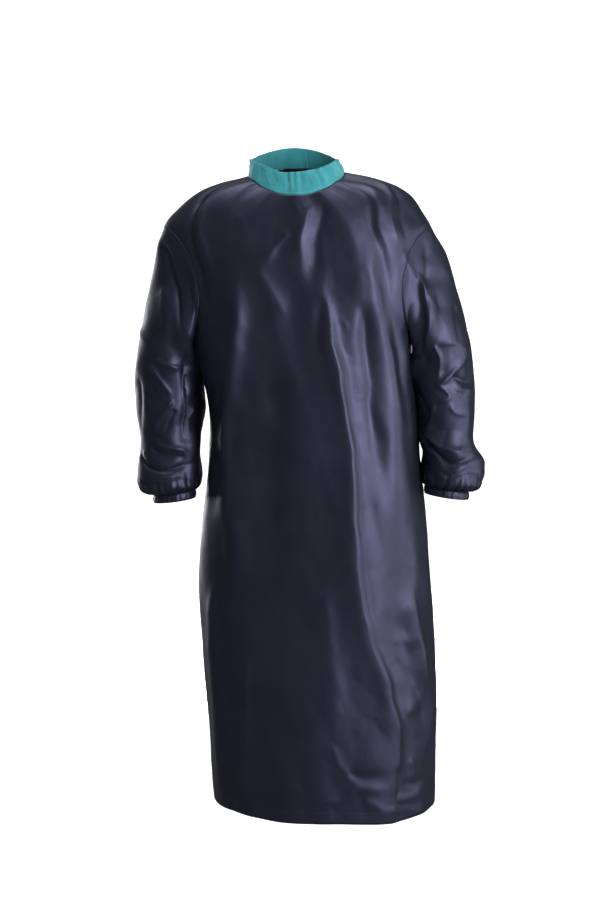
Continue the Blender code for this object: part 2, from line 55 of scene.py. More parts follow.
# The body's rings, hem first: heights at the side seams, centre front and centre back; middle of the
# width, half of it at the side seams and as the panels' middles follow it; depth in front of and
# behind the side seams; and how full the ring's corners are
LEVELS = [
    (-1293, -1300, -1288, 52, 233, 233, 184, 162, 0.05),
    (-1131, -1131, -1131, 46.5, 238, 238, 176, 154, 0.06),
    (-960, -960, -960, 37.5, 243, 243, 168, 146, 0.08),
    (-832, -832, -832, 31, 242, 242, 161, 139, 0.1),
    (-705, -705, -705, 30, 233, 233, 154, 132, 0.13),
    (-580, -580, -580, 29, 220, 220, 147, 126, 0.17),
    (-454, -454, -454, 22, 212, 212, 141, 124, 0.22),
    (-390, -392, -390, 12, 208.5, 212, 138, 127, 0.26),
    (-320, -328, -318, 1, 218, 220, 136, 131, 0.3),
    (-250, -268, -248, 0, 238, 230, 133, 132, 0.32),
    (-180, -212, -183, -3, 256, 236, 127, 130, 0.32),
    (-130, -170, -135, -4.5, 266, 236, 121, 125, 0.3),
    (-96, -142, -100, -5, 271, 230, 116, 118, 0.27),
    (-61, -118, -68, -4, 243, 215, 111, 110, 0.22),
    (-30, -92, -38, -4, 205, 190, 105, 98, 0.18),
    (-10, -64, -8, -6, 155, 150, 97, 81, 0.14),
    (2, -35, 22, -8, 97, 97, 87, 62, 0.1),
]
# How much lower the hem hangs at the left side, and how far up that is felt
HEM_DIP = 0.010
HEM_DIP_HIGH = 0.40
# Rings at both ends of the armhole, its reach in degrees, and how blunt it is
UNDERARM_LEVEL = 8
SHOULDER_LEVEL = 12
ARMHOLE_FRONT = 31.0
ARMHOLE_BACK = 27.0
ARMHOLE_ROUND = 0.8

# Sleeves, armhole first: outer and inner edge seen from the front, how far ahead, and half the depth
SLEEVE_LEFT = [
    (266, -96, 219, -320, 2, 88),
    (291, -145, 221.5, -332, 0, 88),
    (313, -203, 224, -347, -4, 86),
    (334, -266, 219.5, -366, -8, 83),
    (350, -335, 214, -392, -10, 79),
    (359, -410, 226.5, -428, -8, 75),
    (362, -475, 235, -475, -2, 70),
    (362, -545, 245, -535, 8, 62),
    (379, -588, 252, -580, 14, 66),
    (381, -616, 251, -605, 18, 65),
    (366, -637, 253, -621, 20, 56),
    (348, -641, 257, -628, 20, 44),
]
SLEEVE_RIGHT = [
    (276, -96, 217, -320, 2, 88),
    (289, -145, 216, -332, 0, 88),
    (304, -203, 213.5, -347, -4, 86),
    (319, -266, 207.5, -366, -8, 83),
    (334, -335, 199, -392, -10, 79),
    (339, -410, 195.5, -428, -8, 75),
    (338, -475, 196, -475, -2, 70),
    (330, -560, 206, -545, 8, 60),
    (336, -602, 204, -590, 14, 66),
    (336, -626, 204, -614, 18, 64),
    (320, -644, 208, -631, 20, 54),
    (302, -648, 215, -637, 20, 42),
]
# Metres over which a sleeve leaves the armhole's line, and its folds rise and, at the cuff, fade
SLEEVE_EASE = 0.16
SLEEVE_FOLD_EASE = 0.03
SLEEVE_GAP = 0.0005
# Seam allowance of a sleeve: how much wider than the armhole, and how deep under the body's cloth
ALLOWANCE_SPREAD = 1.05
ALLOWANCE_DEPTH = 0.0026
# Gathers above the cuff: how far up, how high, and where they close at the seam
GATHER_LONG = 0.055
GATHER_HIGH = 0.0015
GATHER_END = 0.007
# Cuffs: length, direction, puff, and ruffle of the puff
CUFF_LONG = 0.016
CUFF_WAY = (0.0, -0.10, -1.0)
CUFF_PUFF = 0.0012
CUFF_RUFFLE = 0.0004

# Folds: how far one reaches to the left and right of its way, how far it stands out or in, how round
# its crest is (1 is soft, 0.15 a sharp crease), and its path: degrees round and millimetres, which are
# heights on the body and distances from the armhole on a sleeve
BODY_RADIUS = 0.20
SLEEVE_RADIUS = 0.075
# Shares of its path over which a fold rises and fades, and the steps that the path is cut into
FOLD_RISE = 0.16
FOLD_FADE = 0.45
FOLD_STEPS = 20
# Slanting facets: how many waves round, metres between them going down, and where they start
BODY_FACETS = [(8, 0.70, 0.0), (-7, 0.55, 1.0), (13, 1.10, 2.0)]
SLEEVE_FACETS = [(2, 0.115, 0.0), (-3, 0.150, 1.5), (3, 0.210, 3.0), (-1, 0.090, 4.0)]
BODY_FACET_HIGH = 0.0014
SLEEVE_FACET_HIGH = 0.0030
# Noise in the body's cloth: height, cells round, metres down for each cell, and seed. The first two
# shift the folds, in degrees and in metres; crumpling has a second height that is added near the hem
BODY_SHIFT = [(2.4, 11, 0.11, 11), (0.9, 31, 0.04, 12)]
BODY_SLIDE = [(0.010, 11, 0.12, 13)]
BODY_WANDER = [(0.0010, 41, 0.16, 21), (0.0022, 17, 0.36, 22)]
BODY_CRUMPLE = [(0.0008, 0.0006, 15, 0.110, 23), (0.0002, 0.0002, 48, 0.034, 33)]
LOW_FROM = -0.75
LOW_BLEND = 0.45
# The same for a sleeve; its seeds count on from its first one
SLEEVE_SHIFT = (7.0, 7, 0.07)
SLEEVE_SLIDE = (0.006, 8, 0.06)
SLEEVE_CRUMPLE = (0.0005, 13, 0.040)
SEED_LEFT = 40
SEED_RIGHT = 60
NET_DOWN = 256
BODY_FOLDS = [
    # long drapes of the front
    (26,32,15,0.7, -29,-160, -33,-250, -38,-330, -47,-420, -52,-500, -50,-620, -44,-760, -41,-1000),
    (40,40,-9,1, -16,-340, -22,-500, -24,-800, -20,-1100),
    (14,40,13,0.6, 14,-150, 13,-240, 16,-310, 19,-390, 19,-500, 19,-620, 20.5,-760, 24,-880, 32,-1000,
     37.5,-1080, 38,-1150, 35,-1240, 32,-1450, 30,-1750),
    (22,18,-9,0.9, 33,-240, 37,-340, 37,-440, 36,-550, 36,-680),
    (20,26,6,1, 34,-120, 38,-200, 47,-290, 55,-390, 55,-490, 56,-600, 55,-780),
    (18,20,-4,1, 42,-130, 50,-220, 60,-320, 65,-450, 66,-620),
    (12,16,4,0.8, 66,-220, 72,-310, 72,-460),
    (22,28,10,0.9, 52,-800, 58,-920, 65,-1000, 70,-1080, 68,-1240),
    (18,18,-4,1, 45,-860, 50,-950, 56,-1050, 58,-1180),
    (16,24,3.2,0.9, 5,-800, 5,-950, 6,-1050, 8,-1140, 10,-1220),
    (24,24,8,0.8, -58,-800, -63,-1050, -64,-1380),
    (14,18,5,0.5, -36,-950, -40,-1100, -44,-1240),
    (50,50,11,1, 90,20, 90,-30, 90,-90),
    # the sides, pushed out a little under the sleeves
    (60,60,12,1, -89,-180, -89,-320, -89,-480),
    (60,60,12,1, 89,-180, 89,-380, 89,-580),
    # drags from the collar and the shoulders
    (24,12,4.7,0.5, 72,-5, 52,-55, 46,-100, 49,-150, 58,-210),
    (10,12,-2.6,0.5, 58,-5, 46,-70, 41,-120, 44,-170),
    (7,7,3.1,0.5, 84,-10, 64,-55, 55,-90, 55,-115, 60,-165),
    (7,8,-3.7,0.5, 80,-20, 70,-60, 62,-100, 62,-150),
    (8,10,2.6,0.5, 60,-150, 64,-190, 70,-230),
    (8,9,-6.2,0.6, -76,-20, -62,-80, -56,-150, -54,-220, -49,-310),
    (8,20,4.7,0.6, -66,-40, -56,-90, -50,-140, -48,-230),
    (12,12,2.1,0.4, -60,0, -42,-70, -38,-150),
    (10,12,1.3,0.5, -40,-60, -30,-100, -28,-160),
    # middle of the front, below the collar
    (10,22,5,0.7, 14,-36, 7,-60, 1.5,-105, 1.5,-170, 4,-235),
    (10,14,-3,0.7, 22,-45, 13,-80, 9,-130, 8,-190, 9,-240),
    (10,24,3,0.6, -5,-95, -9,-112, -13,-144, -18,-172, -20,-185),
    (12,28,3.6,0.7, -20,-165, -18,-180, -13.5,-217, -8.5,-258, -4,-300),
    (12,16,-3,0.7, 12,-240, 9,-300, 12,-400),
    # crinkles in the lit band of the front
    (4,6,1,0.15, 18,-225, 24,-240, 28,-232),
    (4,5,1.1,0.15, 20,-285, 24,-300, 25,-318),
    (4,5,1,0.15, 10,-320, 13,-345, 14,-370),
    (4,6,-1,0.15, 22,-345, 28,-360, 33,-352),
    (4,5,0.8,0.15, 25,-430, 30,-442, 34,-438),
    (14,14,2.4,0.4, 43,-1083, 51,-1072, 60,-1068),
    (14,14,1.8,0.5, 39,-930, 47,-927, 57,-950),
    (14,14,-1.8,0.5, 39,-970, 50,-1007, 58,-1017),
    # small marks of the folded pack
    (4,4,-0.5,0.2, -30,-845, -22,-850, -14,-846),
    (4,4,-0.5,0.2, -38,-868, -34,-870, -30,-867),
    (4,4,-0.6,0.2, 24,-668, 30,-672, 36,-669),
    (4,4,-0.5,0.2, 26,-785, 30,-788, 34,-784),
    (4,4,-0.5,0.2, 10,-783, 14,-786, 18,-782),
    (4,4,-0.6,0.2, 48,-766, 54,-770, 60,-764),
    # crumpling above the hem
    (12,18,2.7,0.5, 6,-1130, 8,-1185, 13,-1219, 19,-1240),
    (9,14,2.5,0.4, -2,-1245, 8,-1254, 16,-1234, 26,-1238, 36,-1228),
    (14,12,-2.4,0.6, 10,-1198, 20,-1212, 34,-1198),
    (9,14,2.7,0.4, 34,-1262, 46,-1264, 64,-1248),
    (10,10,-2.1,0.5, 40,-1232, 52,-1238, 68,-1226),
    (9,11,-3,0.4, 38,-1190, 37.5,-1235, 35,-1295),
    (12,12,1.8,0.5, 46,-1180, 50,-1212, 48,-1245),
    (10,14,2.1,0.4, 18,-1258, 26,-1275, 33,-1305),
    (8,12,1.8,0.4, 27,-1284, 44,-1286, 72,-1296),
    (14,18,1.2,0.6, -20,-1190, -12,-1230, -2,-1262),
    # the backs
    (30,22,16,0.6, 124,-180, 132,-450, 128,-900, 124,-1400),
    (20,28,9,0.6, 146,-300, 150,-700, 149,-1200),
    (22,30,-11,0.8, 108,-360, 110,-800, 104,-1250),
    (20,28,19,0.5, -120,-160, -126,-500, -131,-1000, -128,-1400),
    (26,22,-10,0.8, -104,-400, -110,-750, -112,-1150),
    (12,16,6,0.3, 165,-20, 140,-70, 122,-160),
    (10,12,-5,0.3, 150,-30, 128,-80, 118,-170),
    (12,16,7,0.3, -160,-30, -136,-90, -121,-190),
    (10,12,-5,0.3, -146,-20, -126,-70, -116,-150),
    (14,12,-9,0.35, 138,-500, 150,-530, 165,-520),
    (16,14,-10,0.35, -110,-470, -122,-500, -135,-500),
    (20,26,10,0.6, -160,-520, -156,-800, -158,-1200),
    (20,20,-8,0.8, -144,-560, -143,-850, -146,-1150),
    (18,18,-7,0.8, 140,-550, 138,-800, 140,-1100),
    (14,20,6,0.5, -172,-80, -150,-200, -132,-340),
    (14,20,5,0.5, 172,-100, 152,-200, 138,-300),
    (20,22,-4,0.9, -140,-440, -152,-500, -164,-505),
]
SLEEVE_LEFT_FOLDS = [
    # the outer front, down to the bend
    (12,12,-5,0.7, 162,10, 130,48, 88,62, 54,52),
    (8,46,11,0.5, 124,30, 104,60, 84,88, 64,120, 56,150),
    (10,14,-2.9,0.4, 150,105, 128,135, 118,170),
    (10,6,5.8,0.32, 79,125, 85,165, 80,195, 74,222),
    (16,18,-5,0.5, 58,100, 60,150, 56,210),
    (9,12,4.3,0.32, 72,222, 90,212, 104,202, 130,186, 165,164),
    # the bend
    (8,10,-4.5,0.3, 98,210, 112,211, 135,216, 185,226),
    (10,14,2.7,0.3, 100,226, 125,228, 155,238, 190,240),
    (8,8,3.1,0.3, 73,214, 84,228, 92,241, 80,250, 66,258),
    (8,14,3.6,0.3, 70,250, 56,285, 46,310, 34,334),
    (7,16,1.8,0.3, 92,258, 112,276, 150,284),
    # above the cuff
    (8,9,-8.6,0.32, 30,320, 45,350, 62,366, 95,374, 165,360),
    (10,10,3.6,0.25, 36,318, 60,342, 90,352, 150,342),
    (10,10,-3.6,0.25, 50,392, 85,402, 120,394, 160,398),
    (12,10,-5,0.3, 20,195, 45,258, 70,285),
    # the back of the sleeve
    (22,22,7.2,0.5, 215,50, 238,140, 245,250),
    (9,12,-7.9,0.25, 188,230, 215,252, 250,270, 315,235),
    (10,12,5.8,0.25, 200,205, 250,232, 305,205),
    (8,10,4.3,0.32, 205,290, 235,262, 270,290),
    (14,14,-5,0.4, 285,80, 280,320, 275,220),
    (9,9,-7.2,0.32, 195,355, 260,372, 330,345),
    (10,12,4.3,0.25, 215,300, 250,330, 300,315),
    (10,12,3.6,0.3, 192,100, 200,160, 190,210),
]
SLEEVE_RIGHT_FOLDS = [
    # the outer front, down to the bend
    (8,10,-9.4,0.25, 175,16, 160,34, 142,53, 118,66, 96,80, 80,105),
    (16,16,5.8,0.4, 150,65, 128,90, 110,115, 100,150),
    (10,12,3.6,0.25, 172,138, 140,142, 118,146, 100,155),
    (6,10,4.3,0.32, 118,164, 104,168, 88,170, 60,162),
    # the bend
    (6,12,5.2,0.3, 128,168, 112,192, 98,214, 88,243),
    (10,10,-3.4,0.3, 138,190, 122,222, 112,246),
    (6,12,5.2,0.3, 87,238, 100,264, 114,288, 126,318),
    (7,10,4.6,0.3, 122,310, 108,326, 80,340, 58,356, 34,375),
    (7,8,-4,0.3, 128,330, 100,346, 72,358, 52,372),
    (8,10,-2.9,0.3, 82,262, 92,288, 98,310),
    (12,10,-4.6,0.3, 20,190, 44,238, 66,262),
    (12,12,3.4,0.3, 45,255, 56,290, 50,325),
    (12,14,-3.4,0.4, 158,205, 150,262, 152,320),
    # above the cuff
    (8,8,-7.9,0.32, 168,350, 142,367, 103,382, 63,378, 25,376),
    (8,8,2.9,0.25, 150,345, 120,362, 90,364),
    (9,10,-3.6,0.25, 150,400, 110,410, 75,400, 40,405),
    (14,14,-4.3,0.4, 60,90, 64,320, 58,190),
    # the back of the sleeve
    (22,22,6.5,0.5, 212,60, 232,320, 236,240),
    (9,12,-7.9,0.25, 182,222, 215,250, 250,268, 318,238),
    (10,12,5.8,0.25, 205,198, 255,226, 305,205),
    (8,10,4.3,0.32, 212,292, 240,262, 272,286),
    (14,14,-4.3,0.4, 290,80, 282,320, 278,220),
    (9,9,-7.2,0.32, 200,362, 265,366, 325,350),
    (10,10,3.6,0.25, 215,310, 250,334, 295,318),
    (10,12,3.6,0.3, 188,110, 196,160, 188,200),
]

# The collar's top ring, and the lap of collar and backs at the centre back
COLLAR_TOP = (38, 10, 64, -11.5, 89, 89, 75, 60, 0.06)
# Wrinkles of the collar: degrees round it, how far the top leans over, half width and height
COLLAR_FOLDS = [
    (-62, 10, 5, 2.6), (-48, 8, 3, -2.4), (-36, -8, 4.5, 2.2), (-24, -12, 3, -1.6),
    (-13, 2, 2.4, 1.8), (-9, 1, 1.6, -2), (-5, -1, 1.8, 2.2), (-1, 1, 1.4, -2.2),
    (3, 1, 1.8, 2), (8, -2, 2.4, -1.6), (14, 3, 4, 1.4), (31, -8, 2.6, -2.6),
    (36, -9, 3, 3.4), (46, -16, 2.6, -3), (55, -14, 4, 3.2), (72, -8, 4, -1.8),
]
# The collar's roll in its middle and at its top, noise in it, and the dip of its top
COLLAR_ROLL = 0.0016
COLLAR_FLARE = 0.0014
COLLAR_SOFT = 0.0016
COLLAR_FINE = 0.0007
COLLAR_DIP = 0.0022
# Degrees from the front at which the collar's wrinkles start to fade, and over how many
COLLAR_CALM = 120.0
COLLAR_CALM_BLEND = 40.0
# The lap: half of it in degrees, over how many the left end rises, and its gap
LAP = 15.0
LAP_BLEND = 50.0
LAP_GAP = 0.0006

# Waist tapes: height, width, distance from the cloth, where one is sewn on and where the knot lies
TIE_HEIGHT = -0.500
TIE_WIDE = 0.012
TIE_OFF = 0.0008
TIE_SEWN = 120.0
KNOT_PLACE = 152.0
KNOT_WIDE = 0.020
KNOT_TUCK = 1.2
KNOT_FOOT = 0.006
KNOT_SINK = 0.004
# Hanging ends: degrees from the knot and length
TIE_ENDS = ((3.0, 0.105), (-3.2, 0.085))
TIE_SWAY = 0.4
# A tape's crown, its ripple, and how it lifts where it is tied and where it hangs
TAPE_CROWN = 0.0009
TAPE_RIPPLE = 0.0004
TAPE_LIFT = 0.0012
TAPE_HANG = 0.0065
TAPE_TIED_GRID = (140, 9)
TAPE_HUNG_GRID = (9, 90)
# Bands of the knot: shift aside and up, whether it stands upright, half height, half depth and width
KNOT_BANDS = [
    (0.0, 0.0, True, 0.0068, 0.0030, 0.0105),
    (-0.0048, 0.0008, False, 0.0040, 0.0028, 0.0125),
    (0.0048, -0.0008, False, 0.0040, 0.0028, 0.0125),
]
KNOT_AROUND = 60
KNOT_ACROSS = 16

# Stitches: length, gap and thickness; rows and columns of the cloth that they follow
NAVY_STITCH = (0.0028, 0.0010, 0.00035)
ARMHOLE_STITCH = (0.0028, 0.0010, 0.0003)
TEAL_STITCH = (0.0024, 0.0009, 0.0003)
HEM_ROW = 4
EDGE_COLUMN = -5
ARMHOLE_ROW = 5
COLLAR_STITCH_ROWS = (("low", 2), ("high", 19))
BEAD_RISE = 0.25
BEAD_SINK = 0.2
SIDES = (("left", 1), ("right", -1))

# Lights: name, place, aim, size, power and colour
WHITE = (1.0, 1.0, 1.0)
LIGHTS = [
    ("key", (2.6, -2.8, 0.30), (0.0, 0.0, -0.60), (1.1, 3.0), 155, (1.0, 0.985, 0.97)),
    ("side", (3.7, -0.7, -0.4), (0.2, 0.0, -0.6), (1.2, 2.6), 52, WHITE),
    ("behind", (-1.9, 3.4, -0.1), (0.0, 0.0, -0.6), (3.2, 2.6), 110, WHITE),
    ("overhead", (-0.2, 0.3, 3.4), (-0.2, 0.5, -1.5), (3.0, 2.6), 120, WHITE),
    ("backdrop_low", (0.0, 1.4, -0.7), (0.0, 6.5, 0.3), (1.6, 1.6), 200, WHITE),
]

# Camera and backdrop
CAMERA_BACK = 3.9
CAMERA_HIGH = -0.105
CAMERA_AIM = -0.558
CAMERA_LENS = 75.7
FLOOR = -1.505
BACKDROP_BEND = 1.5
BACKDROP_FAR = 6.5
BACKDROP_HIGH = 4.5
BACKDROP_AROUND = 96


def smooth_step(t):
    """Rises from 0 at 0 to 1 at 1 as three squares less two cubes, level at both ends and beyond."""
    t = np.clip(t, 0.0, 1.0)
    return t * t * (3.0 - 2.0 * t)


def unit(v):
    return v / np.linalg.norm(v, axis=-1, keepdims=True)


def curve_through(knots, values, at):
    """Cubic curve through rows of values at rising knots, with the slopes of their neighbours."""
    slopes = np.gradient(values, knots, axis=0)
    at = np.asarray(at, float)
    i = np.clip(np.searchsorted(knots, at, side="right") - 1, 0, len(knots) - 2)
    span = (knots[i + 1] - knots[i])[..., None]
    t = (at - knots[i])[..., None] / span
    start = (2 * t**3 - 3 * t**2 + 1) * values[i] + (t**3 - 2 * t**2 + t) * span * slopes[i]
    end = (3 * t**2 - 2 * t**3) * values[i + 1] + (t**3 - t**2) * span * slopes[i + 1]
    return np.moveaxis(start + end, -1, 0)


def lengths(points, axis=0):
    """Distance along rows of points, from the first point of each."""
    step = np.diff(points, axis=axis, prepend=points.take([0], axis))
    return np.cumsum(np.linalg.norm(step, axis=-1), axis=axis)


def wander(turn, down, cells, size, seed):
    """Smooth noise from -1 to 1: random values at the corners of a net of cells, eased between them.

    The net has that many cells round a full turn, so that it closes, and one for each size down. It
    leans and waves, so that its cells don't line up.
    """
    table = np.random.default_rng(seed).uniform(-1.0, 1.0, (cells, NET_DOWN))
    u, v = np.asarray(turn) * cells / (2 * np.pi), np.asarray(down) / size
    u, v = u + 0.35 * v, v + 0.4 * np.sin(3 * np.asarray(turn))
    i, j = np.floor(u).astype(int), np.floor(v).astype(int)
    s, t = smooth_step(u - i), smooth_step(v - j)
    left, right, near, far = i % cells, (i + 1) % cells, j % NET_DOWN, (j + 1) % NET_DOWN
    low = table[left, near] * (1 - s) + table[right, near] * s
    high = table[left, far] * (1 - s) + table[right, far] * s
    return low * (1 - t) + high * t


def uneven(layers, turn, down):
    """Sum of smooth noises, each with its height, its cells round, its size going down and its seed."""
    return sum(high * wander(turn, down, *cells) for high, *cells in layers)


def crumple(turn, down, cells, size, seed):
    """Sharp creases from -1 to 1, in patches: valleys and ridges where smooth noises pass through zero."""
    half = (2 * cells, size / 2)
    valley = wander(turn, down, cells, size, seed) + 0.4 * wander(turn, down, *half, seed + 1)
    ridge = wander(turn, down, cells, size, seed + 2) + 0.4 * wander(turn, down, *half, seed + 3)
    patch = smooth_step(0.6 + 1.4 * wander(turn, down, max(cells // 3, 3), size * 3, seed + 4))
    return (np.abs(valley) - np.abs(ridge)) * patch


def facets(turn, down, waves, size, seed):
    """Flat facets between straight creases: triangle waves of several slants, each in patches.

    A triangle wave is the arcsine of a sine; its slant comes from its waves round and going down.
    """
    total = 0.0
    for k, (cells, long, phase) in enumerate(waves):
        bent = cells * turn + 2 * np.pi * down / long + phase + 0.9 * wander(turn, down, 5, size, seed + k)
        patch = smooth_step(0.5 + 1.1 * wander(turn, down, 5, 1.6 * size, seed + 20 + k))
        total = total + patch * np.arcsin(0.985 * np.sin(bent)) * 2 / np.pi
    return total


LEVEL_UNITS = np.array([MM] * 8 + [1.0])
LEVEL_ROWS = LEVELS * LEVEL_UNITS
UP = (lengths(LEVEL_ROWS[:, [4, 0]]) + lengths(LEVEL_ROWS[:, [6, 1]])) / 2
UP_UNDERARM = UP[UNDERARM_LEVEL]
UP_SHOULDER = UP[SHOULDER_LEVEL]


def ring_point(level, angle):
    """Point at an angle round a ring: 0 is the centre front, 90 degrees the left side seam."""
    side, front, back, middle, half, inner, ahead, behind, full = level
    s, c = np.sin(angle), np.cos(angle)
    z_middle = np.where(c > 0, front, back)
    depth = np.where(c > 0, ahead, behind)
    x = middle + (inner + (half - inner) * s**8) * s
    y = -depth * c * (1 + full * s * s)
    z = side + (z_middle - side) * c * c
    return np.stack(np.broadcast_arrays(x, y, z), -1)


def bare_body(angle, up):
    """The plain rings, with the hem hanging lower towards the left side."""
    point = ring_point(curve_through(UP, LEVEL_ROWS, up), angle)
    dip = smooth_step(np.sin(angle) / 0.8) * smooth_step(1 - np.asarray(up) / HEM_DIP_HIGH)
    point[..., 2] -= HEM_DIP * dip
    return point


def facing(surface, a, b, step=1e-4):
    """Unit normal of a surface of two parameters, from its slopes along each of them."""
    along_a = surface(a + step, b) - surface(a - step, b)
    along_b = surface(a, b + step) - surface(a, b - step)
    return unit(np.cross(along_a, along_b))


def fold_relief(folds, across, down, radius):
    """How far folds move the cloth out at places across (degrees) and down (metres).

    Each fold is a ridge or trough along a smooth path. Its height falls with the distance from the
    path as exp(-1.6 (sqrt(q*q + r*r) - r)), q the distance over the reach and r the roundness, and it
    flattens towards both ends.
    """
    total = np.zeros(np.broadcast(across, down).shape)
    across, down = np.broadcast_arrays(across, down)
    for left, right, high, soft, *path in folds:
        left, right, high = left * MM, right * MM, high * MM
        path = np.array(path, float).reshape(-1, 2) * (1, MM)
        middle = path[:, 0].mean()
        path = np.stack([np.radians(path[:, 0] - middle) * radius, path[:, 1]], -1)
        steps = np.linspace(0, lengths(path)[-1], FOLD_STEPS + 1)
        path = np.stack(curve_through(lengths(path), path, steps), -1)
        turned = np.radians((across - middle + 180.0) % 360.0 - 180.0) * radius
        reach = 4.0 * max(left, right)
        low, top = path.min(axis=0) - reach, path.max(axis=0) + reach
        near = (turned > low[0]) & (turned < top[0]) & (down > low[1]) & (down < top[1])
        if not near.any():
            continue
        place = np.stack([turned[near], down[near]], -1)
        best = np.full((3, len(place)), np.inf)
        for k in range(FOLD_STEPS):
            run = path[k + 1] - path[k]
            share = np.clip((place - path[k]) @ run / (run @ run), 0.0, 1.0)
            apart = place - path[k] - share[:, None] * run
            aside = run[0] * apart[:, 1] - run[1] * apart[:, 0]
            here = np.stack([np.linalg.norm(apart, axis=-1), aside, (k + share) / FOLD_STEPS])
            best = np.where(here[0] < best[0], here, best)
        nearest, sideways, travel = best
        reach = np.where(sideways > 0, left, right)
        q = nearest / (reach * (0.65 + 0.6 * travel))
        fade = smooth_step(travel / FOLD_RISE) * smooth_step((1 - travel) / FOLD_FADE)
        total[near] += high * fade * np.exp(-1.6 * (np.sqrt(q * q + soft * soft) - soft))
    return total


def body(angle, up):
    """The body's outer cloth: the plain rings, moved along their normals by noise and by the folds.

    The folds' places wander too. Crumpling grows towards the hem, and slanting facets lie over it all.
    """
    angle, up = np.broadcast_arrays(np.asarray(angle, float), np.asarray(up, float))
    point = bare_body(angle, up)
    z = point[..., 2]
    across = np.degrees(angle) + uneven(BODY_SHIFT, angle, z)
    relief = fold_relief(BODY_FOLDS, across, z + uneven(BODY_SLIDE, angle, z), BODY_RADIUS)
    relief = relief + uneven(BODY_WANDER, angle, z)
    low = smooth_step((LOW_FROM - z) / LOW_BLEND)
    for high, more, *cells in BODY_CRUMPLE:
        relief = relief + (high + more * low) * crumple(angle, z, *cells)
    relief = relief + BODY_FACET_HIGH * facets(angle, z, BODY_FACETS, 0.30, 71)
    return point + relief[..., None] * facing(bare_body, angle, up)


def armhole_place(side, turn):
    """Angle and height on the body of the armhole seam; turn 0 is its lowest point, 180 its highest."""
    s = np.sin(turn)
    reach = np.where(s > 0, -ARMHOLE_FRONT, ARMHOLE_BACK)
    angle = side * np.radians(90.0 + reach * np.abs(s) ** ARMHOLE_ROUND)
    up = UP_UNDERARM + (UP_SHOULDER - UP_UNDERARM) * (1 - np.cos(turn)) / 2
    return angle, up


def sleeve_long(rows):
    """Length of a sleeve along the middles of its rings."""
    return lengths((rows[:, 0:2] + rows[:, 2:4]) / 2)[-1]


def sleeve_ring(rows, side, turn, along):
    """Point on a sleeve's plain ring: turn 0 is its inner side, 90 its front and 180 its outer side."""
    knots = lengths((rows[:, 0:2] + rows[:, 2:4]) / 2)
    out_x, out_z, in_x, in_z, ahead, depth = curve_through(knots, rows, along)
    c = -np.cos(turn)
    x = side * ((out_x + in_x) / 2 + (out_x - in_x) / 2 * c)
    z = (out_z + in_z) / 2 + (out_z - in_z) / 2 * c
    y = -ahead - depth * np.sin(turn)
    return np.stack(np.broadcast_arrays(x, y, z), -1)


def ruffle(turn):
    """Waves of gathered cloth round the cuff: 19 uneven ones, and 31 smaller ones on them."""
    return np.sin(19 * turn + 1.3 * np.sin(3 * turn)) + 0.6 * np.sin(31 * turn + 2.0)


def gathers(turn, along, last):
    """Ruffle of the cloth that elastic draws in, fading up the sleeve and closing at the cuff's seam."""
    pull = smooth_step(1 - (last - along) / GATHER_LONG) ** 1.5
    return GATHER_HIGH * pull * ruffle(turn) * smooth_step((last - along) / GATHER_END)


def sleeve_surface(rows, side):
    """The sleeve's folded cloth as a function of turn and the distance along it from the armhole.

    Its first ring is the armhole's line on the body; from there it eases into the sleeve's own rings,
    which folds, facets and crumpling move along their normals, and gathers close at the cuff.
    """
    folds, seed = (SLEEVE_LEFT_FOLDS, SEED_LEFT) if side > 0 else (SLEEVE_RIGHT_FOLDS, SEED_RIGHT)
    last = sleeve_long(rows)
    crumple_high, *crumple_cells = SLEEVE_CRUMPLE

    def plain(turn, along):
        return sleeve_ring(rows, side, turn, along)

    def surface(turn, along):
        turn, along = np.broadcast_arrays(np.asarray(turn, float), np.asarray(along, float))
        start = body(*armhole_place(side, turn)) - plain(turn, 0.0)
        settle = 1 - smooth_step(along / SLEEVE_EASE)
        across = np.degrees(turn) + uneven([(*SLEEVE_SHIFT, seed)], turn, along)
        down = along + uneven([(*SLEEVE_SLIDE, seed + 1)], turn, along)
        relief = fold_relief(folds, across, down, SLEEVE_RADIUS)
        relief = relief + SLEEVE_FACET_HIGH * facets(turn, along, SLEEVE_FACETS, 0.09, seed + 2)
        relief = relief + crumple_high * crumple(turn, along, *crumple_cells, seed + 9)
        relief = relief * smooth_step(along / SLEEVE_FOLD_EASE)
        relief = relief * smooth_step((last - along) / SLEEVE_FOLD_EASE) + gathers(turn, along, last)
        way = facing(plain, turn, along) * -side
        point = plain(turn, along) + start * settle[..., None] + relief[..., None] * way
        point[..., 0] += side * SLEEVE_GAP
        return point

    return surface


def grid_way(outer, closed):
    """Outward direction at each point of a grid, from its neighbours; the sign is set by the caller."""
    down = np.gradient(outer, axis=0)
    if closed:
        across = np.roll(outer, -1, axis=1) - np.roll(outer, 1, axis=1)
    else:
        across = np.gradient(outer, axis=1)
    return unit(np.cross(across, down))


def lap_rise(angle, wall):
    """How far a left end stands out to lie on a right end that is one wall thick."""
    start = 180.0 - LAP - LAP_BLEND
    return (wall + LAP_GAP) * smooth_step((np.degrees(angle) - start) / LAP_BLEND)[..., None]


def net(rows, across, wide):
    """Faces of a grid of points, each row so many wide, and the edges along its first and last row."""
    row, column = np.meshgrid(np.arange(rows - 1), np.arange(across), indexing="ij")
    right = (column + 1) % wide
    corners = [row * wide + column, row * wide + right, (row + 1) * wide + right, (row + 1) * wide + column]
    sheet = np.stack(corners, -1).reshape(-1, 4)
    start = np.arange(across)
    ends = [np.stack([(start + 1) % wide, start], -1)]
    ends.append(np.stack([start, (start + 1) % wide], -1) + (rows - 1) * wide)
    return sheet, ends


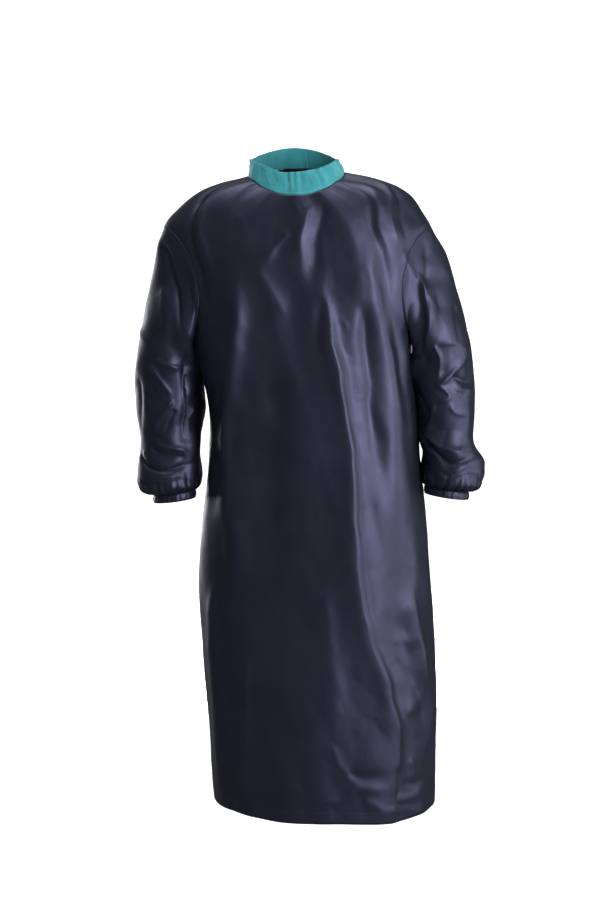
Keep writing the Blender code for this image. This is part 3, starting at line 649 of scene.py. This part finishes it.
def add_cloth(node, outer, inner, closed, look):
    """A thin closed shell from two grids of points, with a UV map in metres along and across."""
    rows, columns = outer.shape[:2]
    across = columns if closed else columns - 1
    sheet, ends = net(rows, across, columns)
    drawn, drawn_ends = net(rows, across, across + 1)
    if not closed:
        step = np.arange(rows - 1) * columns
        sides = [np.stack([step, step + columns], -1), np.stack([step + columns, step], -1) + columns - 1]
        ends, drawn_ends = ends + sides, drawn_ends + sides
    below, drawn_below = rows * columns, rows * (across + 1)
    faces = [sheet, sheet[:, ::-1] + below]
    drawn = [drawn, drawn[:, ::-1] + drawn_below]
    for end, drawn_end in zip(ends, drawn_ends):
        faces.append(np.concatenate([end, end[:, ::-1] + below], axis=1))
        drawn.append(np.concatenate([drawn_end, drawn_end[:, ::-1] + drawn_below], axis=1))
    faces, drawn = np.concatenate(faces), np.concatenate(drawn)
    points = np.concatenate([outer.reshape(-1, 3), inner.reshape(-1, 3)])
    round_row = np.concatenate([outer, outer[:, :1]], axis=1) if closed else outer
    wide, tall = lengths(round_row, 1), lengths(round_row)
    uv = np.stack([wide - wide[:, [across // 2]], tall], -1).reshape(-1, 2)
    return add_piece(node, points, faces, look, np.concatenate([uv, uv])[drawn])


def looks_in(points, faces):
    """Whether a closed surface's faces look inwards, so that its volume comes out negative."""
    corner = points[faces]
    volume = (corner[:, 0] * np.cross(corner[:, 1], corner[:, 2])).sum()
    return volume + (corner[:, 0] * np.cross(corner[:, 2], corner[:, 3])).sum() < 0


def add_mesh(name, points, faces, look, drawn=None):
    """A smooth mesh in one finish, with a UV map where one is drawn."""
    mesh = bpy.data.meshes.new(name)
    mesh.from_pydata(points.reshape(-1, 3).tolist(), [], faces)
    if drawn is not None:
        mesh.uv_layers.new(name="cloth").data.foreach_set("uv", drawn.astype(np.float32).ravel())
    mesh.shade_smooth()
    mesh.materials.append(look)
    made = bpy.data.objects.new(name, mesh)
    bpy.context.collection.objects.link(made)
    return made


def add_piece(node, points, faces, look, drawn=None):
    """A piece of the gown of four-cornered faces, turned to face outwards."""
    if looks_in(points, faces):
        faces = faces[:, ::-1]
        drawn = None if drawn is None else drawn[:, ::-1]
    made = add_mesh(f"{node}_cloth", points, faces.tolist(), look, drawn)
    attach(made, "root")
    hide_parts(node)
    return made


# How finely each piece is cut up
SKIRT_ROWS = 170
ARMHOLE_ROWS = 48
SHOULDER_ROWS = 32
FRONT_COLUMNS = 132
FRONT_BESIDE = 26
BACK_COLUMNS = 54
BACK_BESIDE = 26
LAP_COLUMNS = 30
SLEEVE_GRID = (220, 200)
CUFF_GRID = (320, 14)
COLLAR_GRID = (420, 22)


def body_rows(skirt, armhole, shoulder):
    """Heights of the rows of a body panel, and how far each lies round the armhole in radians."""
    low = np.linspace(0.0, UP_UNDERARM, skirt)
    turn = np.linspace(0.0, np.pi, armhole + 1)[1:-1]
    middle = UP_UNDERARM + (UP_SHOULDER - UP_UNDERARM) * (1 - np.cos(turn)) / 2
    top = np.linspace(UP_SHOULDER, UP[-1] - SEAM / 2, shoulder)
    turns = np.concatenate([np.zeros(skirt), turn, np.zeros(shoulder)])
    return np.concatenate([low, middle, top]), turns


def panel_edge(turns, reach):
    """Angle from the side seam at which a panel ends, row by row, short of the seam itself."""
    return np.radians(reach * np.sin(turns) ** ARMHOLE_ROUND) + SEAM / 1.5


def front_grid(columns, beside, rows):
    """The front between its side seams; only the columns beside the armholes bend round them."""
    up, turns = rows
    edge = np.pi / 2 - panel_edge(turns, ARMHOLE_FRONT)[:, None]
    straight = np.radians(90.0 - ARMHOLE_FRONT - 1.0)
    middle = np.linspace(-straight, straight, columns + 1)[None, :] + 0 * edge
    share = np.linspace(0.0, 1.0, beside + 1)[None, 1:]
    right = straight + (edge - straight) * share
    return body(np.concatenate([-right[:, ::-1], middle, right], axis=1), up[:, None])


def back_angles(turns, beside):
    """Angles of a back's columns, row by row, from its side seam to its edge past the centre back."""
    edge = np.pi / 2 + panel_edge(turns, ARMHOLE_BACK)[:, None]
    straight = np.radians(90.0 + ARMHOLE_BACK + 2.0)
    lap = np.radians(LAP)
    share = np.linspace(0.0, 1.0, beside + 1)[None, :-1]
    middle = np.linspace(straight, np.pi - lap, BACK_COLUMNS + 1)[:-1]
    far = np.linspace(np.pi - lap, np.pi + lap, LAP_COLUMNS + 1)
    straight_columns = np.concatenate([middle, far])[None, :] + 0 * edge
    return np.concatenate([edge + (straight - edge) * share, straight_columns], axis=1)


def back_grid(side, rows):
    """A back from its side seam past the centre back; the left one rises to lie on the right one."""
    up, turns = rows
    angle = back_angles(turns, BACK_BESIDE)
    outer = body(side * angle, up[:, None])
    if side > 0:
        outer = outer + lap_rise(angle, WALL) * grid_way(outer, False)
    return outer


def sleeve_grid(rows, side, around, down):
    """A sleeve from its seam allowance, which is turned in under the body's cloth, to its cuff."""
    turn = np.linspace(0.0, 2 * np.pi, around + 1)[:-1]
    along = np.linspace(0.0, sleeve_long(rows), down)
    outer = sleeve_surface(rows, side)(turn[None, :], along[:, None])
    angle, up = armhole_place(side, turn)
    middle = side * np.pi / 2
    level = (UP_UNDERARM + UP_SHOULDER) / 2
    allowance = []
    for spread in (ALLOWANCE_SPREAD, 1.0):
        place = middle + (angle - middle) * spread, level + (up - level) * spread
        allowance.append(body(*place) - ALLOWANCE_DEPTH * facing(bare_body, *place))
    return np.concatenate([np.stack(allowance), outer])


def cuff_grid(rows, side, around, down):
    """The casing below a sleeve: its last ring, carried down and a little forward, and puffed out.

    The puff is half a sine wave going down, and its height follows the ruffle round the cuff.
    """
    turn = np.linspace(0.0, 2 * np.pi, around + 1)[:-1]
    last = sleeve_long(rows)
    top = sleeve_surface(rows, side)(turn, np.full_like(turn, last))
    outward = unit((top - top.mean(axis=0)) * [1, 1, 0])
    fall = np.linspace(0.0, 1.0, down)[:, None]
    puff = (CUFF_PUFF + CUFF_RUFFLE * ruffle(turn)) * np.sin(np.pi * fall)
    drop = fall[..., None] * np.array(CUFF_WAY) * CUFF_LONG
    outer = top + drop + puff[..., None] * outward - [0, 0, SEAM]
    return outer, outward


def collar_grid(columns, rows):
    """The band round the neck from one end past the other, straight from the neck's ring to its top.

    Going up, it rolls out by half a sine wave and flares by the fourth power of its height's share.
    Its wrinkles are noise and ridges of exp(-distance over width to the power 1.5), which lean and
    grow towards the top. They fade where the ends lap.
    """
    lap = np.radians(LAP)
    angle = np.linspace(-np.pi - lap, np.pi + lap, columns)
    edge = body(angle, np.full_like(angle, UP[-1]))
    edge = edge + lap_rise(angle, WALL) * facing(bare_body, angle, np.full_like(angle, UP[-1]))
    edge[:, 2] += SEAM / 4
    outward = unit((edge - edge.mean(axis=0)) * [1, 1, 0])
    brim = ring_point(COLLAR_TOP * LEVEL_UNITS, angle) + lap_rise(angle, COLLAR_THICK) * outward
    share = np.linspace(0.0, 1.0, rows)[:, None]
    turn = angle[None, :]
    roll = COLLAR_ROLL * np.sin(np.pi * share) + COLLAR_FLARE * share**4
    soft = COLLAR_SOFT * wander(turn, share * 0.020, 44, 0.014, 81) * (0.3 + share)
    soft = soft + COLLAR_FINE * wander(turn, share * 0.03, 83, 0.007, 82)
    for place, lean, wide, high in COLLAR_FOLDS:
        away = (np.degrees(turn) - place - lean * (share - 0.5)) / wide
        soft = soft + high * MM * np.exp(-np.abs(away) ** 1.5) * (0.25 + 0.75 * share)
    flat = smooth_step((np.degrees(np.abs(turn)) - COLLAR_CALM) / COLLAR_CALM_BLEND)
    out = (roll + soft) * (1 - flat) * smooth_step(share / 0.10)
    outer = edge + (brim - edge) * share[..., None] + out[..., None] * outward
    outer[..., 2] += share * COLLAR_DIP * wander(turn, 0 * turn, 19, 0.030, 84) * (1 - flat)
    return outer, outward


def stitch_line(name, points, ways, size, look):
    """Stitches along a line of points on the cloth: short four-sided beads, pointed at both ends.

    A bead has two diamonds across its own line, and a single point beyond each of them that is sunk
    into the cloth.
    """
    long, gap, thick = size
    at = lengths(points)
    count = int(at[-1] / (long + gap))
    middle = (np.arange(count) + 0.5) * (at[-1] / count)

    def read(rows, place):
        return np.stack([np.interp(place, at, rows[:, k]) for k in range(3)], -1)

    centre = read(points, middle)
    way = unit(read(ways, middle))
    run = unit(read(points, middle + long / 2) - read(points, middle - long / 2))
    side = unit(np.cross(run, way))
    bead = [centre - 0.5 * long * run - way * thick * BEAD_SINK]
    for share in (-0.25, 0.25):
        base = centre + share * long * run + way * thick * BEAD_RISE
        bead += [base + thick * spoke for spoke in (side, way, -side, -way)]
    bead.append(centre + 0.5 * long * run - way * thick * BEAD_SINK)
    four = [(k, (k + 1) % 4) for k in range(4)]
    tips = [(0, 1 + k, 1 + after) for k, after in four] + [(9, 5 + after, 5 + k) for k, after in four]
    walls = [(1 + k, 5 + k, 5 + after, 1 + after) for k, after in four]
    first = (np.arange(count) * len(bead))[:, None, None]
    faces = (first + np.array(tips)).reshape(-1, 3).tolist()
    faces += (first + np.array(walls)).reshape(-1, 4).tolist()
    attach(add_mesh(name, np.stack(bead, 1), faces, look), "root")


def read_grid(grid, row, column):
    """Points between a grid's own: the mean of the four round each place, weighted by nearness."""
    r, c = row.astype(int), column.astype(int)
    v, h = (row - r)[..., None], (column - c)[..., None]
    low = grid[r, c] * (1 - h) + grid[r, c + 1] * h
    high = grid[r + 1, c] * (1 - h) + grid[r + 1, c + 1] * h
    return low * (1 - v) + high * v


def add_tape(name, panel, way, places, heights, sway, look):
    """A tape on the right back: the panel's own points, moved out, its middle raised and its edges thin.

    Places are degrees round the body and heights are metres. A tape that is tied waves slightly up
    and down and lifts in its middle; one that hangs bends aside by its sway, in degrees, and comes
    away from the cloth towards its end.
    """
    skirt = panel[:SKIRT_ROWS, BACK_COLUMNS, 2]
    angles = np.degrees(back_angles(np.zeros(1), BACK_BESIDE)[0])
    tied = abs(places[1] - places[0]) * np.radians(BODY_RADIUS) > abs(heights[1] - heights[0])
    across, down = TAPE_TIED_GRID if tied else TAPE_HUNG_GRID
    heights = np.linspace(*heights, down)[:, None] + np.zeros(across)
    places = np.linspace(*places, across)[None, :] + np.zeros((down, 1))
    share = np.linspace(0.0, 1.0, across)[None, :] if tied else np.linspace(1.0, 0.0, down)[:, None]
    if tied:
        heights = heights + 0.0016 * np.sin(9.0 * share) * np.sin(np.pi * share)
        width = np.linspace(-1.0, 1.0, down)[:, None]
        lift = TAPE_LIFT * np.sin(np.pi * share)
    else:
        places = places + sway * share**1.5 + 0.25 * np.sin(7.0 * share + sway)
        width = np.linspace(-1.0, 1.0, across)[None, :]
        lift = TAPE_HANG * share**1.4 * (1 + 0.05 * sway * width)
    row = np.interp(heights, skirt, np.arange(SKIRT_ROWS))
    column = np.interp(places, angles, np.arange(len(angles)))
    away = unit(read_grid(way, row, column))
    crown = TAPE_CROWN * (1 - width**2) + TAPE_RIPPLE * np.sin(23.0 * share + 2.0 * width)
    crown = crown + TAPE_THICK * (1 - 0.4 * width**8)
    inner = read_grid(panel, row, column) + (TIE_OFF + lift)[..., None] * away
    made = add_cloth(name, inner + crown[..., None] * away, inner, False, look)
    wide, long = lengths(inner, 1)[:, -1].mean(), lengths(inner)[-1].mean()
    return inner


def add_knot(place, across, away, look):
    """A tight knot of flat tape: bands carried round ellipses, each band a flattened oval in section."""
    up = np.cross(across, away)
    turn = np.linspace(0.0, 2 * np.pi, KNOT_AROUND + 1)[:-1, None, None]
    spin = np.linspace(0.0, 2 * np.pi, KNOT_ACROSS + 1)[None, :-1, None]
    t, s = np.meshgrid(np.arange(KNOT_AROUND), np.arange(KNOT_ACROSS), indexing="ij")
    near, far = t * KNOT_ACROSS, (t + 1) % KNOT_AROUND * KNOT_ACROSS
    beside = (s + 1) % KNOT_ACROSS
    quad = np.stack([near + s, near + beside, far + beside, far + s], -1).reshape(-1, 4)
    points, faces = [], []
    for number, (aside, high, upright, reach, deep, wide) in enumerate(KNOT_BANDS):
        long_way, wide_way = (up, across) if upright else (across, up)
        radial = np.cos(turn) * reach * long_way + np.sin(turn) * deep * away
        middle = place + aside * across + high * up + 0.0042 * away
        oval = 0.0008 * np.cos(spin) * unit(radial)
        pinch = 1.0 - 0.25 * np.cos(2 * turn + number)
        ring = middle + radial + oval + pinch * np.sin(spin) * wide / 2 * wide_way
        ring = (ring + 0.0004 * np.sin(5 * turn + 3 * spin) * away).reshape(-1, 3)
        faces.append((quad[:, ::-1] if looks_in(ring, quad) else quad) + number * len(ring))
        points.append(ring)
    made = add_piece("tie_knot", np.concatenate(points), np.concatenate(faces), look)


def add_ties(panel, way, look):
    """Waist tapes from the left back's edge and from the right back's side, knotted between them."""
    degree = np.radians(BODY_RADIUS)
    beside = KNOT_WIDE / 2 / degree + SEAM / degree
    band = (TIE_HEIGHT - TIE_WIDE / 2, TIE_HEIGHT + TIE_WIDE / 2)
    left = (KNOT_PLACE + beside - KNOT_TUCK, 180.0 - LAP)
    right = (TIE_SEWN, KNOT_PLACE - beside + KNOT_TUCK)
    add_tape("tie_left", panel, way, left, band, 0.0, look)
    inner = add_tape("tie_right", panel, way, right, band, 0.0, look)
    foot = TIE_HEIGHT - KNOT_FOOT
    for name, (turned, hanging) in zip(("tie_end_left", "tie_end_right"), TIE_ENDS):
        half = TIE_WIDE / 2 / degree
        places = (KNOT_PLACE + turned - half, KNOT_PLACE + turned + half)
        add_tape(name, panel, way, places, (foot - hanging, foot), TIE_SWAY * turned, look)
    across = unit((inner[:, -1] - inner[:, -9]).mean(axis=0))
    away = unit(np.cross([0.0, 0.0, 1.0], across))
    away = away if away[1] > 0 else -away
    place = inner[:, -1].mean(axis=0) + across * (KNOT_WIDE / 2 - KNOT_SINK)
    add_knot(place, across, away, look)


class Nodes:
    """A material and its shader nodes, joined in the order that they are made."""

    def __init__(self, name, values):
        self.material = bpy.data.materials.new(name)
        self.material.use_nodes = True
        self.tree = self.material.node_tree
        self.shader = self.tree.nodes["Principled BSDF"]
        self.place = self.add("ShaderNodeTexCoord")
        for key, value in values.items():
            self.shader.inputs[key].default_value = value

    def add(self, kind, **values):
        node = self.tree.nodes.new(kind)
        for key, value in values.items():
            if key in node.inputs:
                node.inputs[key].default_value = value
            else:
                setattr(node, key, value)
        return node

    def join(self, source, target):
        self.tree.links.new(source, target)

    def noise(self, scale, **values):
        """Noise in the object's own space."""
        node = self.add("ShaderNodeTexNoise", Scale=scale, **values)
        self.join(self.place.outputs["Object"], node.inputs["Vector"])
        return node.outputs["Fac"]

    def wave(self, scale, direction, **values):
        """Straight waves on the cloth, laid flat in metres."""
        node = self.add("ShaderNodeTexWave", Scale=scale, bands_direction=direction, **values)
        self.join(self.place.outputs["UV"], node.inputs["Vector"])
        return node.outputs["Fac"]

    def blend(self, target, factor, low, high, start=0.3):
        """Feeds the shader a colour that goes from low to high between start and 1 - start."""
        ramp = self.add("ShaderNodeValToRGB")
        stops = zip(ramp.color_ramp.elements, (start, 1 - start), (low, high))
        for element, place, colour in stops:
            element.position = place
            element.color = (*colour, 1.0)
        self.join(factor, ramp.inputs["Fac"])
        self.join(ramp.outputs["Color"], self.shader.inputs[target])

    def bump(self, height, strength, distance, below=None):
        bump = self.add("ShaderNodeBump", Strength=strength, Distance=distance)
        self.join(height, bump.inputs["Height"])
        if below is not None:
            self.join(below, bump.inputs["Normal"])
        return bump.outputs["Normal"]


def navy_cloth():
    """Coated satin weave: dark navy, with a bluish tint to what it reflects.

    Three bumps lie on one another: soft crinkles, sharper ones where a noise passes through its middle
    value, and a twill of slanting waves that only shows close by.
    """
    n = Nodes("navy_cloth", {"Specular IOR Level": 0.7, "Specular Tint": (0.55, 0.57, 1.0, 1.0)})
    n.blend("Base Color", n.noise(9.0, Detail=5.0, Roughness=0.55), (0.0048, 0.0052, 0.0086),
            (0.0070, 0.0075, 0.0122))
    n.blend("Roughness", n.noise(22.0, Detail=4.0), (0.41,) * 3, (0.49,) * 3)
    soft = n.bump(n.noise(17.0, Detail=4.0, Roughness=0.55, Distortion=0.4), 0.15, 0.004)
    centred = n.add("ShaderNodeMath", operation="SUBTRACT")
    centred.inputs[1].default_value = 0.5
    n.join(n.noise(24.0, Detail=3.0, Distortion=0.5), centred.inputs[0])
    sharp = n.add("ShaderNodeMath", operation="ABSOLUTE")
    n.join(centred.outputs["Value"], sharp.inputs[0])
    creased = n.bump(sharp.outputs["Value"], 0.20, 0.003, soft)
    twill = n.wave(420.0, "DIAGONAL", Distortion=0.4)
    n.join(n.bump(twill, 0.06, 0.0003, creased), n.shader.inputs["Normal"])
    return n.material


def teal_cotton():
    """Plain-woven cotton with an even matt look, its threads crossing at right angles."""
    n = Nodes("teal_cotton", {"Roughness": 0.82, "Sheen Weight": 0.25, "Sheen Tint": (0.5, 0.9, 0.9, 1.0)})
    n.blend("Base Color", n.noise(40.0, Detail=6.0, Roughness=0.6), (0.0078, 0.140, 0.166),
            (0.0145, 0.202, 0.231))
    base = n.bump(n.noise(70.0, Detail=3.0), 0.25, 0.002)
    for direction in ("X", "Y"):
        base = n.bump(n.wave(330.0, direction), 0.18, 0.0003, base)
    n.join(base, n.shader.inputs["Normal"])
    return n.material


def thread_look(name, colour):
    """Sewing thread, flecked with seven tenths of its colour."""
    n = Nodes(name, {"Roughness": 0.6})
    n.blend("Base Color", n.noise(900.0), tuple(0.7 * c for c in colour), colour, start=0.35)
    return n.material


def pale_surface():
    """Matt white, giving off a little light of its own."""
    n = Nodes("pale_backdrop", {"Roughness": 0.9, "Emission Color": (1.0, 1.0, 1.0, 1.0),
                                "Emission Strength": 0.55})
    n.blend("Base Color", n.noise(0.8), (0.60, 0.60, 0.605), (0.63, 0.63, 0.63))
    return n.material


def add_backdrop():
    """A round floor that curves up into a wall: a line, a quarter circle and a line, turned about Z."""
    bow = np.linspace(0.0, np.pi / 2, 25)
    flat = BACKDROP_FAR - BACKDROP_BEND
    r = np.concatenate([[0.02, 1.5, 3.0], flat + BACKDROP_BEND * np.sin(bow), [BACKDROP_FAR]])
    z = np.concatenate([[0.0, 0.0, 0.0], BACKDROP_BEND - BACKDROP_BEND * np.cos(bow), [BACKDROP_HIGH]])
    turn = np.linspace(0.0, 2 * np.pi, BACKDROP_AROUND + 1)[:-1]
    r, z = r[:, None], z[:, None] + FLOOR
    points = np.stack(np.broadcast_arrays(r * np.cos(turn), r * np.sin(turn), z), -1)
    sheet, _ = net(len(r), BACKDROP_AROUND, BACKDROP_AROUND)
    faces = sheet[:, ::-1].tolist() + [list(range(BACKDROP_AROUND))]
    made = add_mesh("backdrop", points, faces, pale_surface())
    made.visible_glossy = False


def add_lights():
    """Soft rectangles of light, each turned to its aim, and a faint even light from all round."""
    for name, place, aim, size, power, colour in LIGHTS:
        light = bpy.data.lights.new(name, "AREA")
        light.shape = "RECTANGLE"
        light.size, light.size_y = size
        light.energy = power
        light.color = colour
        made = bpy.data.objects.new(name, light)
        made.location = place
        made.rotation_euler = (Vector(aim) - Vector(place)).to_track_quat("-Z", "Y").to_euler()
        bpy.context.collection.objects.link(made)
    world = bpy.data.worlds.new("studio")
    world.use_nodes = True
    world.node_tree.nodes["Background"].inputs["Color"].default_value = (0.93, 0.95, 1.0, 1.0)
    world.node_tree.nodes["Background"].inputs["Strength"].default_value = 0.08
    bpy.context.scene.world = world
    bpy.context.scene.view_settings.view_transform = "Standard"


def add_camera():
    """A camera straight in front, tilted down a little to the gown's middle."""
    camera = bpy.data.objects.new("camera", bpy.data.cameras.new("camera"))
    camera.data.lens = CAMERA_LENS
    camera.data.sensor_width = 36.0
    pitch = math.atan2(CAMERA_HIGH - CAMERA_AIM, CAMERA_BACK)
    camera.location = (0.0, -CAMERA_BACK, CAMERA_HIGH)
    camera.rotation_euler = (math.pi / 2 - pitch, 0.0, 0.0)
    bpy.context.collection.objects.link(camera)
    bpy.context.scene.camera = camera


def add_body(look, thread):
    """The front, the two backs with the waist tapes on the right one, and their stitched edges."""
    rows = body_rows(SKIRT_ROWS, ARMHOLE_ROWS, SHOULDER_ROWS)
    outer = front_grid(FRONT_COLUMNS, FRONT_BESIDE, rows)
    way = grid_way(outer, False)
    front = add_cloth("front", outer, outer - THICK * way, False, look)
    stitch_line("front_hem_stitches", outer[HEM_ROW], way[HEM_ROW], NAVY_STITCH, thread)
    for name, side in SIDES:
        outer = back_grid(side, rows)
        way = grid_way(outer, False) * side
        back = add_cloth(f"back_{name}", outer, outer - THICK * way, False, look)
        for part, line in (("hem", (HEM_ROW,)), ("edge", (slice(None), EDGE_COLUMN))):
            stitch_line(f"back_{name}_{part}_stitches", outer[line], way[line], NAVY_STITCH, thread)
        if side < 0:
            add_ties(outer, way, look)


def add_sleeve(name, side, rings, look, thread):
    """A sleeve, the stitches round its armhole and its cuff."""
    outer = sleeve_grid(rings, side, *SLEEVE_GRID)
    way = grid_way(outer, True) * -side
    sleeve = add_cloth(f"sleeve_{name}", outer, outer - THICK * way, True, look)
    closed = np.arange(-SLEEVE_GRID[0], 1)
    line, ways = outer[ARMHOLE_ROW, closed], way[ARMHOLE_ROW, closed]
    stitch_line(f"armhole_{name}_stitches", line, ways, ARMHOLE_STITCH, thread)
    outer, outward = cuff_grid(rings, side, *CUFF_GRID)
    cuff = add_cloth(f"cuff_{name}", outer, outer - THICK * outward, True, look)


def add_collar(look, thread):
    """The collar and the stitches along its lower and upper edges."""
    outer, outward = collar_grid(*COLLAR_GRID)
    collar = add_cloth("collar", outer, outer - COLLAR_THICK * outward, False, look)
    way = grid_way(outer, False)
    for name, row in COLLAR_STITCH_ROWS:
        stitch_line(f"collar_{name}_stitches", outer[row], way[row], TEAL_STITCH, thread)


def add_gown():
    """Every piece of the gown, in its finish."""
    navy, teal = navy_cloth(), teal_cotton()
    navy_thread = thread_look("navy_thread", (0.020, 0.020, 0.045))
    teal_thread = thread_look("teal_thread", (0.10, 0.42, 0.42))
    add_body(navy, navy_thread)
    for (name, side), rings in zip(SIDES, (SLEEVE_LEFT, SLEEVE_RIGHT)):
        add_sleeve(name, side, np.array(rings) * MM, navy, navy_thread)
    add_collar(teal, teal_thread)


add_camera()
add_lights()
add_backdrop()
add_gown()
